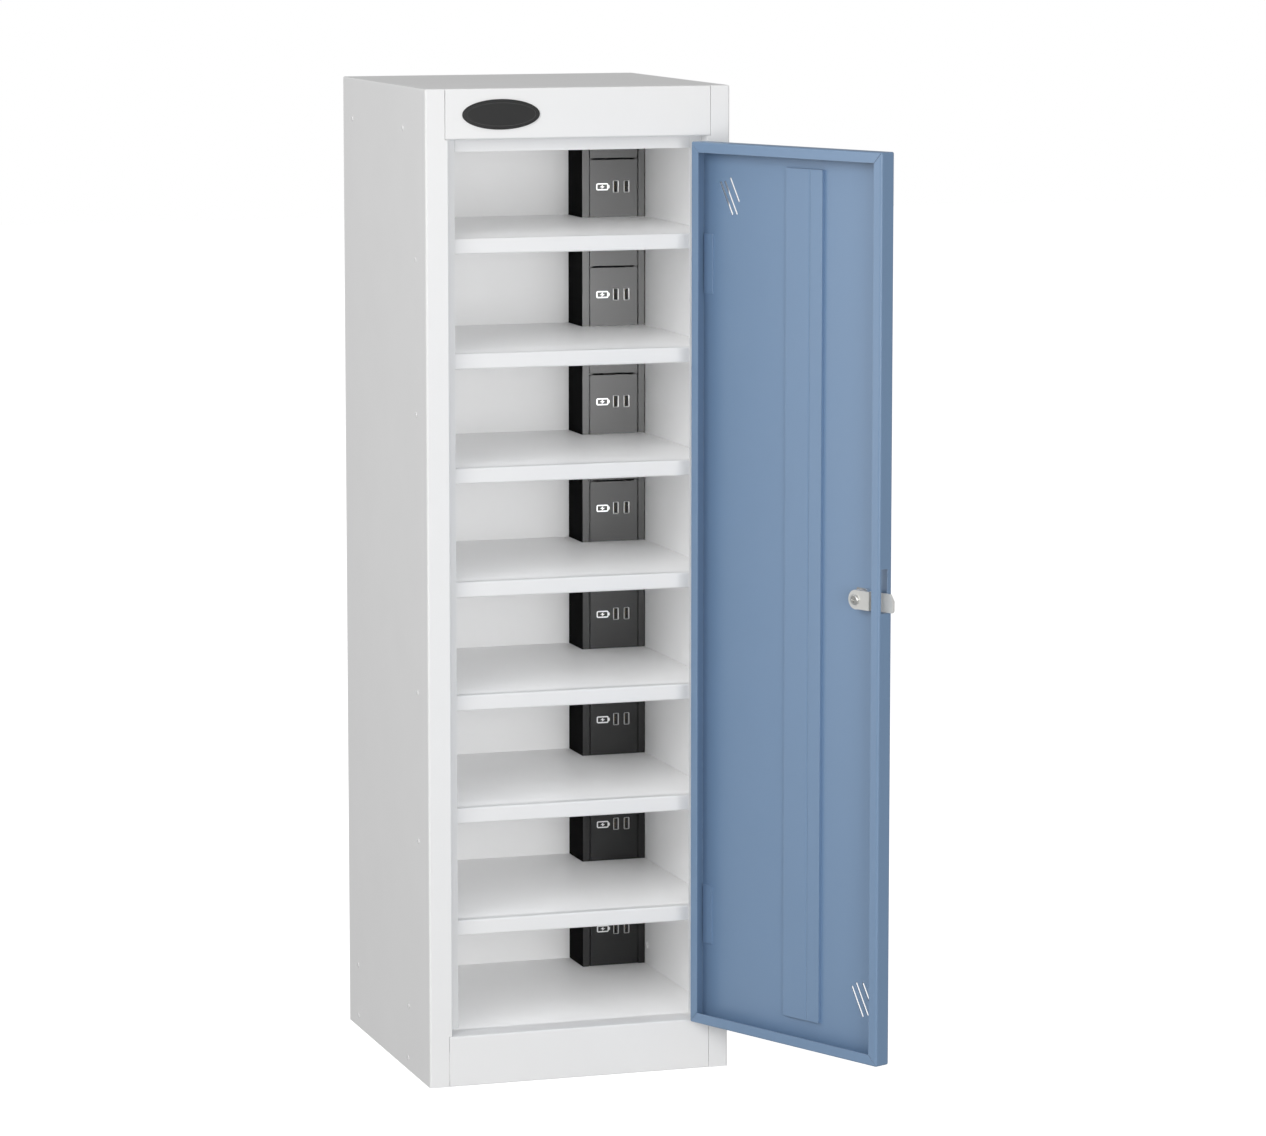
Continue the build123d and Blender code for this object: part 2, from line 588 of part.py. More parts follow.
def hinge_moving_leaf(z):
    """The leaf welded inside the door's skin, with the middle knuckle."""
    half = MOVING_KNUCKLE_H / 2
    skin = FRONT_Y + GAUGE
    arm_x = (PIVOT_X - KNUCKLE_R, PIVOT_X - KNUCKLE_R + LEAF_T)
    leaf = block(arm_x, (PIVOT_Y, skin + LEAF_T), (z - half, z + half)) + knuckle(z - half, z + half)
    leaf -= rod((PIVOT_X, PIVOT_Y, z), PIN_R + PIN_FIT, 100)
    return leaf + block((PIVOT_X - 15.0, arm_x[1]), (skin, skin + LEAF_T), (z - HINGE_H / 2, z + HINGE_H / 2))


def hinge_pin(z):
    """A headed pin through one hinge."""
    pin = rod((PIVOT_X, PIVOT_Y, z), PIN_R, HINGE_H + 2.0)
    pin = chamfer(pin.edges().sort_by(Axis.Z)[0], 0.6)
    head = rod((PIVOT_X, PIVOT_Y, z + HINGE_H / 2 + 0.9), 3.6, 1.6)
    return pin + fillet(head.edges().sort_by(Axis.Z)[-1], 0.7)


# ---- lock ----
def lock_rod(radius, y0, y1):
    """A cylinder on the lock's axis between two depths."""
    return rod((LOCK_X, (y0 + y1) / 2, LOCK_Z), radius, y1 - y0, Axis.Y)


def lock_housing():
    """The lock's bezel and barrel, bored for the plug."""
    bezel = lock_rod(11.5, FRONT_Y - 3.4, FRONT_Y)
    bezel = fillet(bezel.edges().sort_by(Axis.Y)[0], 1.8)
    barrel = lock_rod(BARREL_R, FRONT_Y, CAM_HUB_Y - 0.3)
    return bezel + barrel - lock_rod(PLUG_R + PLUG_FIT, FRONT_Y - 10, -140)


def lock_nut():
    """The hexagonal nut that clamps the barrel to the door's skin."""
    y = FRONT_Y + GAUGE
    hexagon = Pos(LOCK_X, y, LOCK_Z) * Rot(90, 0, 0) * RegularPolygon(12.4, 6)
    nut = extrude(hexagon, 4.0, dir=(0, 1, 0))
    return nut - lock_rod(BARREL_R + 0.02, y - 5, y + 8)


def lock_plug():
    """The turning plug: key slot at the front, flatted drive and screw hole at the back."""
    plug = lock_rod(PLUG_R, FRONT_Y - 3.6, CAM_HUB_Y - 0.3)
    plug += lock_rod(DRIVE_R, CAM_HUB_Y - 0.4, CAM_HUB_Y + CAM_T)
    flat_y = (CAM_HUB_Y - 0.1, -140)
    for low, high in ((DRIVE_FLAT, 8.0), (-8.0, -DRIVE_FLAT)):
        plug -= block((LOCK_X - 8, LOCK_X + 8), flat_y, (LOCK_Z + low, LOCK_Z + high))
    plug -= block((LOCK_X - 1.1, LOCK_X + 1.1), (FRONT_Y - 5, FRONT_Y + 6), (LOCK_Z - 4.6, LOCK_Z + 4.6))
    return plug - lock_rod(1.8, -154, -140)


def cam_stretch(x, y, thickness):
    """One flat stretch of the cam."""
    return block(x, (y, y + thickness), (LOCK_Z - CAM_HALF, LOCK_Z + CAM_HALF))


def lock_cam():
    """The cranked cam: round hub, small step towards the skin and the tongue that leaves the door."""
    hub_back = CAM_HUB_Y + CAM_T
    tip_x = LOCK_X - CAM_REACH
    tongue = cam_stretch((tip_x, CAM_CRANK_X), CAM_TONGUE_Y, CAM_T)
    low_corner = edge_near(tongue, (tip_x, CAM_TONGUE_Y + 1, LOCK_Z - CAM_HALF))
    tongue = chamfer(low_corner, 2.0)
    top_corner = edge_near(tongue, (tip_x, CAM_TONGUE_Y + 1, LOCK_Z + CAM_HALF))
    tongue = chamfer(top_corner, *CAM_TIP, reference=tongue.faces().sort_by(Axis.Z)[-1])
    cam = lock_rod(CAM_HUB_R, CAM_HUB_Y, hub_back) + tongue
    cam += cam_stretch((CAM_CRANK_X, LOCK_X), CAM_HUB_Y, CAM_T)
    cam += cam_stretch((CAM_CRANK_X - CAM_T, CAM_CRANK_X), CAM_TONGUE_Y, hub_back - CAM_TONGUE_Y)
    fit = 0.05
    bore = lock_rod(DRIVE_R + fit, CAM_HUB_Y - 1, hub_back + 1)
    flats = (LOCK_Z - DRIVE_FLAT - fit, LOCK_Z + DRIVE_FLAT + fit)
    return cam - (bore & block((-200, 0), (-160, -140), flats))


def cam_screw():
    """The screw that holds the cam on the plug."""
    back = CAM_HUB_Y + CAM_T
    head = lock_rod(5.2, back + 0.1, back + 2.9)
    head = fillet(head.edges().sort_by(Axis.Y)[-1], 1.6)
    for turn in (0, 90):
        head -= Pos(LOCK_X, back + 2.7, LOCK_Z) * Rot(0, turn, 0) * Box(5.6, 2.0, 1.1)
    return head + lock_rod(1.7, back - 5, back + 0.2)


def build():
    """Every node by name."""
    nodes = {
        "left_side_panel": left_side_panel(),
        "right_side_panel": right_side_panel(),
        "side_caps": side_caps(),
        "nesting_plug": nesting_plug(),
        "back_panel": back_panel(),
        "top_panel": top_panel(),
        "fascia": fascia(),
        "badge": badge(),
        "ceiling_panel": ceiling_panel(),
        "floor_tray": floor_tray(),
        "kickplate": kickplate(),
        "tower_body": tower_body(),
        "tower_blank": tower_blank(),
        "usb_tongues": usb_tongues(),
        "power_supply": power_supply(),
        "supply_screws": supply_screws(),
        "power_leads": power_leads(),
        "mains_inlet": mains_inlet(),
        "inlet_pins": inlet_pins(),
        "inlet_screws": inlet_screws(),
        "door_panel": swing(door_panel()),
        "door_stiffener": swing(door_stiffener()),
        "lock_housing": swing(lock_housing()),
        "lock_nut": swing(lock_nut()),
        "lock_plug": swing(lock_plug()),
        "lock_cam": swing(lock_cam()),
        "cam_screw": swing(cam_screw()),
    }
    for index in range(SHELF_COUNT):
        nodes[f"shelf_{index + 1}"] = shelf(FIRST_SHELF_TOP + SHELF_PITCH * index)
    for index in range(MODULE_COUNT):
        nodes[f"charger_module_{index + 1}"] = charger_module(index)
        nodes[f"usb_shells_{index + 1}"] = usb_shells(index)
    for name, z in zip(("lower", "upper"), HINGE_Z):
        nodes[f"{name}_hinge_fixed_leaf"] = hinge_fixed_leaf(z)
        nodes[f"{name}_hinge_moving_leaf"] = swing(hinge_moving_leaf(z))
        nodes[f"{name}_hinge_pin"] = hinge_pin(z)
    return nodes


os.makedirs("parts", exist_ok=True)
for node, shape in build().items():
    export_step(shape, f"parts/{node}.step")
    print(node, len(shape.solids()), round(shape.volume))
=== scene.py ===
"""Phone charging locker: finishes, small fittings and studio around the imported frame.

Lengths are in metres in the frame's own axes: +X to the right seen from the front, +Y to the
back and +Z up, with the origin in the middle of the cabinet's footprint on the floor.
"""
import json
import logging
import math
from dataclasses import dataclass
from enum import Enum
from typing import Callable, Iterable, Sequence, Union

import bmesh
import bpy
from mathutils import Matrix, Vector

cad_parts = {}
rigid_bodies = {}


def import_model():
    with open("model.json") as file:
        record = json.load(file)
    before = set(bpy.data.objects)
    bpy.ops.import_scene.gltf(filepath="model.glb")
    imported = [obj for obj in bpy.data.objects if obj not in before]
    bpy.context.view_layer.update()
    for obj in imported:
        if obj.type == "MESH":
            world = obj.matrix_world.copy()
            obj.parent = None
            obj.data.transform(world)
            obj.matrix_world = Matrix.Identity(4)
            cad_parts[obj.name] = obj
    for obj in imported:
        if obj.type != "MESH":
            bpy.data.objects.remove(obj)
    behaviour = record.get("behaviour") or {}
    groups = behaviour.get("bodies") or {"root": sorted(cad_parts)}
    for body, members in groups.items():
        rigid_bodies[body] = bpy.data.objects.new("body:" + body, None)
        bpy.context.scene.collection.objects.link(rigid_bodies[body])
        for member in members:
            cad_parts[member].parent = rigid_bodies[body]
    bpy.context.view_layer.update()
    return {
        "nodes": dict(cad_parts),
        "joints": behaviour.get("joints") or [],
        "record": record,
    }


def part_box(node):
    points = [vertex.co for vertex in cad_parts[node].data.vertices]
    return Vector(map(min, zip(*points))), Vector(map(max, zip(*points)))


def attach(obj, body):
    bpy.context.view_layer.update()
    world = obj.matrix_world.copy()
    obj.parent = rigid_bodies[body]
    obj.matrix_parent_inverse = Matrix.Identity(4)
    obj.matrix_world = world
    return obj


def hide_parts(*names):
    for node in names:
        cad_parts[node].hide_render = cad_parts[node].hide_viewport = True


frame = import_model()
BLUE_NODES = ("door_panel", "door_stiffener", "lower_hinge_moving_leaf", "upper_hinge_moving_leaf")
LOG = logging.getLogger("charging_locker")
MM = 0.001
CLOUD_DETAIL = 3.0  # finer layers in the slow unevenness of a finish
NOISE_MIDDLE = 0.5  # what a noise averages
PIT_MIDDLE = 0.4  # what the pitting averages

Colour = tuple[float, float, float, float]
Point = tuple[float, float]
Value = Union[float, Colour, tuple[float, float, float], "Socket"]


def grey(level: float) -> Colour:
    """A neutral colour of one level."""
    return (level, level, level, 1.0)


def shaded(colour: Colour, factor: float) -> Colour:
    """The same colour made darker or paler by a factor."""
    return (colour[0] * factor, colour[1] * factor, colour[2] * factor, 1.0)


def linked(name: str, data: bpy.types.ID) -> bpy.types.Object:
    """Makes an object of some data and links it to the scene."""
    thing = bpy.data.objects.new(name, data)
    bpy.context.scene.collection.objects.link(thing)
    return thing


# ---- shader arithmetic ----
class Socket:
    """One output of a node, which takes part in ordinary arithmetic."""

    def __init__(self, graph: "Graph", end: bpy.types.NodeSocket) -> None:
        """Remembers the graph and the node's output."""
        self.graph = graph
        self.end = end

    def maths(self, operation: str, first: Value, second: Value) -> "Socket":
        """Adds a Math node.

        Args:
            operation: The Math node's operation.
            first: Its first value or link.
            second: Its second value or link.

        Returns:
            The node's result.
        """
        return self.graph.node("ShaderNodeMath", {"operation": operation}, {0: first, 1: second})

    def __add__(self, other: Value) -> "Socket":
        """This plus a value."""
        return self.maths("ADD", self, other)

    def __radd__(self, other: Value) -> "Socket":
        """A value plus this."""
        return self.maths("ADD", other, self)

    def __sub__(self, other: Value) -> "Socket":
        """This less a value."""
        return self.maths("SUBTRACT", self, other)

    def __rsub__(self, other: Value) -> "Socket":
        """A value less this."""
        return self.maths("SUBTRACT", other, self)

    def __mul__(self, other: Value) -> "Socket":
        """This times a value."""
        return self.maths("MULTIPLY", self, other)

    def __rmul__(self, other: Value) -> "Socket":
        """A value times this."""
        return self.maths("MULTIPLY", other, self)

    def clamped(self) -> "Socket":
        """This kept between nought and one."""
        return self.maths("MINIMUM", self.maths("MAXIMUM", self, 0.0), 1.0)


class Graph:
    """The node tree of one material, and the few patterns that the finishes share."""

    def __init__(self, name: str) -> None:
        """Makes an empty material of that name."""
        self.material = bpy.data.materials.new(name)
        self.material.use_nodes = True
        self.tree = self.material.node_tree
        self.tree.nodes.clear()

    def node(
        self,
        kind: str,
        settings: dict[str, object],
        values: dict[Union[int, str], Value],
        out: Union[int, str, None] = 0,
    ) -> Union["Socket", None]:
        """Adds a node of any type.

        Args:
            kind: The node's type.
            settings: Its settings, by name.
            values: Values or links of its inputs, by name or index.
            out: The output that is wanted, or None.

        Returns:
            The chosen output.
        """
        node = self.tree.nodes.new(kind)
        for name, setting in settings.items():
            setattr(node, name, setting)
        for name, value in values.items():
            if isinstance(value, Socket):
                self.tree.links.new(value.end, node.inputs[name])
            else:
                node.inputs[name].default_value = value
        return None if out is None else Socket(self, node.outputs[out])

    def place(self) -> Socket:
        """The point on the piece, in metres."""
        return self.node("ShaderNodeTexCoord", {}, {}, "Object")

    def stretched(self, point: Socket, factors: tuple[float, float, float]) -> Socket:
        """The point with each axis multiplied by its factor."""
        return self.node("ShaderNodeVectorMath", {"operation": "MULTIPLY"}, {0: point, 1: factors})

    def noise(self, point: Socket, size: float, detail: float = 2.0) -> Socket:
        """Cloudy noise.

        Args:
            point: Where it is read.
            size: Its largest features, in the units of the point.
            detail: How many finer layers it has.

        Returns:
            Its value, about one half in the middle.
        """
        values = {"Vector": point, "Scale": 1.0 / size, "Detail": detail, "Roughness": 0.55}
        return self.node("ShaderNodeTexNoise", {"noise_dimensions": "3D"}, values)

    def pits(self, point: Socket, size: float) -> Socket:
        """Small cells, as the distance from the nearest cell's middle."""
        return self.node("ShaderNodeTexVoronoi", {"feature": "F1"}, {"Vector": point, "Scale": 1.0 / size})

    def blend(self, factor: Value, first: Value, second: Value) -> Socket:
        """A colour between two others."""
        values = {0: factor, 6: first, 7: second}
        return self.node("ShaderNodeMix", {"data_type": "RGBA"}, values, 2)

    def mottled(self, cloud: Socket, colour: Colour, spread: float) -> Socket:
        """A colour that a cloud makes darker and paler by a spread."""
        return self.blend(cloud, shaded(colour, 1.0 - spread), shaded(colour, 1.0 + spread))

    def eased_normal(self, radius: float) -> Socket:
        """The normal with sharp edges eased over a radius."""
        return self.node("ShaderNodeBevel", {"samples": 4}, {"Radius": radius})

    def edge(self, radius: float, gain: float = 5.0) -> Socket:
        """One along the sharp edges and nought on flat stretches.

        Args:
            radius: How far the edge reaches, in metres.
            gain: How quickly it rises.

        Returns:
            The mask.
        """
        true_normal = self.node("ShaderNodeNewGeometry", {}, {}, "Normal")
        values = {0: self.eased_normal(radius), 1: true_normal}
        agreement = self.node("ShaderNodeVectorMath", {"operation": "DOT_PRODUCT"}, values, "Value")
        return ((1.0 - agreement) * gain).clamped()

    def corner(self, reach: float) -> Socket:
        """One deep in the piece's own inside corners and nought in the open."""
        settings = {"samples": 4, "only_local": True}
        openness = self.node("ShaderNodeAmbientOcclusion", settings, {"Distance": reach}, "AO")
        return (1.0 - openness).clamped()

    def bump(self, height: Socket, strength: float, normal: Socket) -> Socket:
        """The normal that a height in millimetres gives.

        Args:
            height: The height, in millimetres.
            strength: The share of the height that is used.
            normal: The normal that it starts from.

        Returns:
            The bumped normal.
        """
        values = {"Strength": strength, "Distance": MM, "Height": height, "Normal": normal}
        return self.node("ShaderNodeBump", {}, values)

    def shader(self, values: dict[Union[int, str], Value]) -> Socket:
        """One surface shader with its values and links."""
        return self.node("ShaderNodeBsdfPrincipled", {}, values)

    def close(self, shader: Socket) -> bpy.types.Material:
        """Ends the material with a shader and returns it."""
        self.node("ShaderNodeOutputMaterial", {}, {"Surface": shader}, None)
        return self.material

    def surface(self, values: dict[Union[int, str], Value]) -> bpy.types.Material:
        """Closes the material with one shader.

        Args:
            values: The shader's values and links.

        Returns:
            The finished material.
        """
        return self.close(self.shader(values))


# ---- finishes ----
@dataclass(frozen=True)
class Finish:
    """What every finish has: a name, a colour and how rough it is."""

    name: str
    colour: Colour
    roughness: float

    def make(self) -> bpy.types.Material:
        """Builds the material; each kind of finish does it in its own way."""
        raise NotImplementedError(self.name)


@dataclass(frozen=True)
class PowderCoat(Finish):
    """Baked powder paint on folded sheet, with orange peel, a slight unevenness, a painted highlight along
    its sharp edges and painted shade in its own inside corners.
    """

    peel_size: float = 1.5 * MM
    peel_height: float = 0.010
    grain_size: float = 0.42 * MM
    grain_height: float = 0.003
    wave_size: float = 0.21
    wave_height: float = 0.16
    cloud_size: float = 0.06
    mottle: float = 0.018
    edge_reach: float = 0.9 * MM
    # painted highlight: how far the sharp edges are blended towards white
    painted_edge_highlight: float = 0.06
    corner_reach: float = 0.02
    # painted shade: how strongly the inside corners are darkened
    painted_corner_shade: float = 0.16
    painted_shade_level: float = 0.45
    edge_ease: float = 0.5 * MM
    specular: float = 0.4

    def make(self) -> bpy.types.Material:
        """Builds the paint.

        Returns:
            The material.
        """
        graph = Graph(self.name)
        point = graph.place()
        peel = graph.noise(point, self.peel_size)
        grain = graph.noise(point, self.grain_size, 1.0)
        wave = graph.noise(point, self.wave_size, 0.0)
        cloud = graph.noise(point, self.cloud_size, CLOUD_DETAIL)
        edge = graph.edge(self.edge_reach)
        corner = graph.corner(self.corner_reach)
        paint = graph.mottled(cloud, self.colour, self.mottle)
        # painted highlight: sharp edges blended towards white, standing in for the light that the bends catch
        paint = graph.blend(edge * self.painted_edge_highlight, paint, grey(1.0))
        # painted shade: the piece's own inside corners darkened towards a darker copy of its colour, where
        # shade falls
        paint = graph.blend(corner * self.painted_corner_shade, paint, shaded(self.colour, self.painted_shade_level))
        height = peel * self.peel_height + grain * self.grain_height + wave * self.wave_height
        rough = self.roughness + (cloud - NOISE_MIDDLE) * 0.08 + (peel - NOISE_MIDDLE) * 0.06 - edge * 0.07
        return graph.surface({
            "Base Color": paint,
            "Roughness": rough,
            "Specular IOR Level": self.specular,
            "Normal": graph.bump(height, 1.0, graph.eased_normal(self.edge_ease)),
        })


@dataclass(frozen=True)
class ColumnCoat(Finish):
    """Black trunking: satin on its front rails and dead matt on its flanks, which also get a darker copy of
    the black as painted shade.
    """

    peel_size: float = 1.1 * MM
    peel_height: float = 0.008
    cloud_size: float = 0.03
    mottle: float = 0.15
    edge_reach: float = 0.5 * MM
    edge_ease: float = 0.4 * MM
    rub: float = 0.06
    # painted shade: the darker copy of the black that the flanks get
    flank: Colour = grey(0.0035)
    flank_mottle: float = 0.3
    flank_start: float = 0.4
    flank_gain: float = 4.0
    flank_roughness: float = 0.85

    def make(self) -> bpy.types.Material:
        """Builds the paint.

        Returns:
            The material.
        """
        graph = Graph(self.name)
        point = graph.place()
        peel = graph.noise(point, self.peel_size)
        cloud = graph.noise(point, self.cloud_size, CLOUD_DETAIL)
        edge = graph.edge(self.edge_reach)
        true_normal = graph.node("ShaderNodeNewGeometry", {}, {}, "Normal")
        across = {0: true_normal, 1: (1.0, 0.0, 0.0)}
        sideways = graph.node("ShaderNodeVectorMath", {"operation": "DOT_PRODUCT"}, across, "Value")
        facing_side = ((sideways * sideways - self.flank_start) * self.flank_gain).clamped()
        front = graph.mottled(cloud, self.colour, self.mottle)
        front = graph.blend(edge * self.rub, front, grey(0.5))
        # painted shade: faces turned sideways get the darker copy of the black; their matt roughness is the
        # real finish
        side = graph.mottled(cloud, self.flank, self.flank_mottle)
        normal = graph.bump(peel * self.peel_height, 1.0, graph.eased_normal(self.edge_ease))
        satin = graph.shader({
            "Base Color": front,
            "Roughness": self.roughness + (cloud - NOISE_MIDDLE) * 0.1,
            "Specular IOR Level": 0.5,
            "Normal": normal,
        })
        matt = graph.shader({
            "Base Color": side,
            "Roughness": self.flank_roughness + (peel - NOISE_MIDDLE) * 0.1,
            "Specular IOR Level": 0.03,
            "Normal": normal,
        })
        return graph.close(graph.node("ShaderNodeMixShader", {}, {0: facing_side, 1: satin, 2: matt}))


@dataclass(frozen=True)
class MouldedPlastic(Finish):
    """Moulded plastic with the fine pitting of a spark-worn tool."""

    pit_size: float = 0.5 * MM
    pit_height: float = 0.006
    cloud_size: float = 0.018
    mottle: float = 0.14
    edge_reach: float = 0.35 * MM
    edge_ease: float = 0.25 * MM
    rub: float = 0.10
    rub_level: float = 3.0
    specular: float = 0.5

    def make(self) -> bpy.types.Material:
        """Builds the plastic.

        Returns:
            The material.
        """
        graph = Graph(self.name)
        point = graph.place()
        pit = graph.pits(point, self.pit_size)
        cloud = graph.noise(point, self.cloud_size, CLOUD_DETAIL)
        edge = graph.edge(self.edge_reach)
        body = graph.mottled(cloud, self.colour, self.mottle)
        body = graph.blend(edge * self.rub, body, shaded(self.colour, self.rub_level))
        rough = self.roughness + (cloud - NOISE_MIDDLE) * 0.12 + (pit - PIT_MIDDLE) * 0.05 - edge * 0.08
        return graph.surface({
            "Base Color": body,
            "Roughness": rough,
            "Specular IOR Level": self.specular,
            "Normal": graph.bump(pit * self.pit_height, 1.0, graph.eased_normal(self.edge_ease)),
        })


class Grain(Enum):
    """How a metal surface was worked."""

    DRAWN_UP = (1.0, 1.0, 0.03)
    DRAWN_ACROSS = (0.03, 1.0, 1.0)
    TUMBLED = (1.0, 1.0, 1.0)


@dataclass(frozen=True)
class PlatedMetal(Finish):
    """Plated or plain metal with working marks, handling haze, rubbed edges and painted shade in its own
    recesses.
    """

    grain: Grain = Grain.TUMBLED
    grain_size: float = 0.5 * MM
    grain_height: float = 0.002
    cloud_size: float = 0.007
    haze: float = 0.16
    edge_reach: float = 0.3 * MM
    edge_ease: float = 0.2 * MM
    rub: float = 0.4
    metallic: float = 1.0
    recess_reach: float = 0.012
    # painted shade: how strongly the recesses are darkened
    painted_recess_shade: float = 0.0
    painted_recess_level: float = 0.08

    def make(self) -> bpy.types.Material:
        """Builds the metal.

        Returns:
            The material.
        """
        graph = Graph(self.name)
        point = graph.place()
        marks = graph.noise(graph.stretched(point, self.grain.value), self.grain_size, 3.0)
        cloud = graph.noise(point, self.cloud_size, CLOUD_DETAIL)
        edge = graph.edge(self.edge_reach)
        metal = graph.blend(cloud, shaded(self.colour, 0.9), self.colour)
        metal = graph.blend(edge * self.rub, metal, grey(0.9))
        # painted shade: the piece's own recesses darkened towards near black, where shade falls
        recess = graph.corner(self.recess_reach)
        metal = graph.blend(recess * self.painted_recess_shade, metal, shaded(self.colour, self.painted_recess_level))
        hazed = self.roughness + (cloud - 0.35) * self.haze
        rough = hazed + (marks - NOISE_MIDDLE) * 0.1 - edge * 0.03
        return graph.surface({
            "Base Color": metal,
            "Metallic": self.metallic,
            "Roughness": rough.clamped(),
            "Normal": graph.bump(marks * self.grain_height, 1.0, graph.eased_normal(self.edge_ease)),
        })


@dataclass(frozen=True)
class Badge(Finish):
    """Satin black moulding whose dished face is finely ribbed inside a smoother rim, with a painted highlight
    along its edges.
    """

    rib_pitch: float = 0.9 * MM
    rib_height: float = 0.05
    rim_share: float = 0.90
    rim_sharpness: float = 30.0
    # painted highlight: how much paler the edges are made
    painted_rim_highlight: float = 14.0
    rib_level: float = 1.7

    def make(self) -> bpy.types.Material:
        """Builds the moulding, with its ribs kept inside the rim by the node's own box.

        Returns:
            The material.
        """
        low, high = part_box("badge")
        middle = (low + high) / 2
        half = (high - low) / 2
        graph = Graph(self.name)
        point = graph.place()
        offset = graph.node("ShaderNodeVectorMath", {"operation": "SUBTRACT"}, {0: point, 1: tuple(middle)})
        oval = graph.stretched(offset, (1 / half.x, 0.0, 1 / half.z))
        radius = graph.node("ShaderNodeVectorMath", {"operation": "LENGTH"}, {0: oval}, "Value")
        inside = ((self.rim_share - radius) * self.rim_sharpness).clamped()
        settings = {"wave_type": "BANDS", "bands_direction": "DIAGONAL", "wave_profile": "SIN"}
        ribs = graph.node(
            "ShaderNodeTexWave",
            settings,
            {"Vector": offset, "Scale": 0.31 / self.rib_pitch, "Distortion": 0.6, "Detail": 1.0},
            "Fac",
        )
        pit = graph.pits(point, 0.4 * MM)
        cloud = graph.noise(point, 0.012, 2.0)
        edge = graph.edge(0.5 * MM)
        face = graph.blend(ribs * inside * 0.5, self.colour, shaded(self.colour, self.rib_level))
        # painted highlight: the badge's sharp edges blended much paler, standing in for the light that its
        # rim catches
        face = graph.blend(edge * 0.6, face, shaded(self.colour, self.painted_rim_highlight))
        height = ribs * inside * self.rib_height + pit * 0.004
        rough = self.roughness + inside * 0.1 + (cloud - NOISE_MIDDLE) * 0.1
        return graph.surface({
            "Base Color": face,
            "Roughness": rough,
            "Specular IOR Level": 0.3,
            "Normal": graph.bump(height, 1.0, graph.eased_normal(0.3 * MM)),
        })


@dataclass(frozen=True)
class Sleeve(Finish):
    """Soft extruded sleeve with faint drawing lines and dust."""

    def make(self) -> bpy.types.Material:
        """Builds the sleeve.

        Returns:
            The material.
        """
        graph = Graph(self.name)
        point = graph.place()
        dust = graph.noise(point, 0.02, 4.0)
        lines = graph.noise(graph.stretched(point, (1.0, 1.0, 0.05)), 0.6 * MM, 2.0)
        body = graph.blend(dust * 0.3, self.colour, grey(0.12))
        rough = self.roughness + (dust - NOISE_MIDDLE) * 0.2
        return graph.surface({
            "Base Color": body,
            "Roughness": rough,
            "Normal": graph.bump(lines * 0.01, 1.0, graph.eased_normal(0.2 * MM)),
        })


@dataclass(frozen=True)
class Ink(Finish):
    """Opaque screen-printed ink with a slightly ragged, uneven film."""

    def make(self) -> bpy.types.Material:
        """Builds the ink.

        Returns:
            The material.
        """
        graph = Graph(self.name)
        point = graph.place()
        screen = graph.pits(point, 0.22 * MM)
        cloud = graph.noise(point, 2.5 * MM, CLOUD_DETAIL)
        film = graph.blend(cloud, shaded(self.colour, 0.9), self.colour)
        rough = self.roughness + (screen - PIT_MIDDLE) * 0.1
        return graph.surface({
            "Base Color": film,
            "Roughness": rough,
            "Normal": graph.bump(screen * 0.004, 1.0, graph.eased_normal(0.05 * MM)),
        })


def locker_finishes() -> dict[str, Finish]:
    """Every finish by its slot's name.

    Returns:
        The finishes of the record's slots, and of the ink and gold that only show here.
    """
    blue = (0.182, 0.290, 0.452, 1.0)
    nickel = (0.80, 0.79, 0.77, 1.0)
    zinc = (0.74, 0.74, 0.71, 1.0)
    cam_zinc = (0.90, 0.90, 0.87, 1.0)
    return {
        # the two powder coats carry a painted highlight on their edges and painted shade in their inside
        # corners
        "cabinet_white": PowderCoat(
            "cabinet_white", grey(0.92), 0.42, painted_edge_highlight=0.5, painted_corner_shade=0.19
        ),
        "cap_white": MouldedPlastic("cap_white", grey(0.86), 0.26, rub=0.0),
        "door_blue": PowderCoat(
            "door_blue", blue, 0.40, mottle=0.02, painted_corner_shade=0.3, painted_edge_highlight=0.08, specular=0.7
        ),
        "badge_black": Badge("badge_black", grey(0.016), 0.34),
        "column_black": ColumnCoat("column_black", grey(0.010), 0.40),
        "plate_black": MouldedPlastic("plate_black", grey(0.009), 0.40),
        "lip_nickel": PlatedMetal("lip_nickel", grey(0.62), 0.45, metallic=0.25),
        "tongue_plastic": MouldedPlastic("tongue_plastic", grey(0.02), 0.45),
        "contact_metal": PlatedMetal("contact_metal", nickel, 0.22),
        "supply_case": PlatedMetal("supply_case", grey(0.66), 0.38, grain=Grain.DRAWN_ACROSS),
        "fastener_steel": PlatedMetal("fastener_steel", zinc, 0.28),
        "lead_sleeve": Sleeve("lead_sleeve", grey(0.02), 0.55),
        "inlet_black": MouldedPlastic("inlet_black", grey(0.02), 0.40),
        "hinge_steel": PlatedMetal("hinge_steel", grey(0.62), 0.32, grain=Grain.DRAWN_UP),
        "lock_chrome": PlatedMetal("lock_chrome", grey(0.78), 0.10, haze=0.1),
        # the cam's painted shade darkens its part that lies in shade inside the door
        "cam_steel": PlatedMetal(
            "cam_steel", cam_zinc, 0.30, grain=Grain.DRAWN_UP, metallic=0.45, painted_recess_shade=0.9
        ),
        "ink": Ink("mark_ink", grey(0.92), 0.5),
        "gold": PlatedMetal("contact_gold", (0.95, 0.72, 0.34, 1.0), 0.18),
    }


